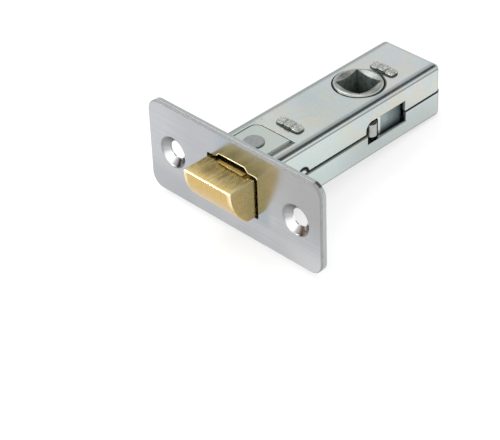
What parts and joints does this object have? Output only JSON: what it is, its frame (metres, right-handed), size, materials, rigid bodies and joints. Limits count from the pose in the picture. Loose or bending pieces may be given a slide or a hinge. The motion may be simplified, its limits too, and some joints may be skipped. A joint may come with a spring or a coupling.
{
  "type": "tubular door latch",
  "caption": "Tubular mortice door latch: sprung bevelled bolt, flat forend with two screw holes, folded sheet case and a square-socket follower that draws the bolt in.",
  "frame": {"origin": "centre of the forend's front face, midway between its two screw holes", "axes": "+X along the forend's long side, +Y into the door along the case, +Z along the spindle, towards the flat side of the bolt; the bolt projects towards -Y"},
  "size_m": [0.057, 0.0731, 0.0254],
  "materials": {
    "satin_plate": "satin brushed along its length",
    "zinc_steel": "bright zinc plated sheet steel",
    "yoke_steel": "dull plated steel strip",
    "bare_steel": "plated steel, peened after plating",
    "bolt_brass": "linished solid brass",
    "spring_steel": "drawn spring wire",
    "follower_steel": "plated sintered steel"
  },
  "bodies": {
    "case": {"front_forend_plate": "satin_plate", "rear_forend_plate": "zinc_steel", "upper_case_shell": "zinc_steel", "lower_case_shell": "zinc_steel", "upper_lug_rivet": "bare_steel", "lower_lug_rivet": "bare_steel", "front_spacer": "bare_steel", "rear_spacer": "bare_steel", "bolt_spring": "spring_steel", "left_return_spring": "spring_steel", "right_return_spring": "spring_steel"},
    "bolt": {"latch_bolt": "bolt_brass", "bolt_tail": "bare_steel", "tail_washer": "zinc_steel", "tail_clip": "spring_steel"},
    "yoke": {"yoke": "yoke_steel"},
    "follower": {"follower": "follower_steel"}
  },
  "joints": [
    {"name": "bolt_slide", "type": "slide", "parent": "case", "child": "bolt", "axis": [0, 1, 0], "range_m": [0, 0.0083], "stiffness_N_per_m": 400, "springref_m": -0.006, "deforming": ["bolt_spring"]},
    {"name": "yoke_slide", "type": "slide", "parent": "case", "child": "yoke", "axis": [0, 1, 0], "range_m": [0, 0.0083], "deforming": ["left_return_spring", "right_return_spring"]},
    {"name": "follower_turn", "type": "hinge", "parent": "case", "child": "follower", "pos_m": [0, 0.044, 0], "axis": [0, 0, 1], "range_deg": [0, 60]}
  ],
  "couplings": [
    {"joint": "yoke_slide", "follows": "bolt_slide", "ratio": 1},
    {"joint": "follower_turn", "follows": "bolt_slide", "rad_per_m": 126.16}
  ]
}
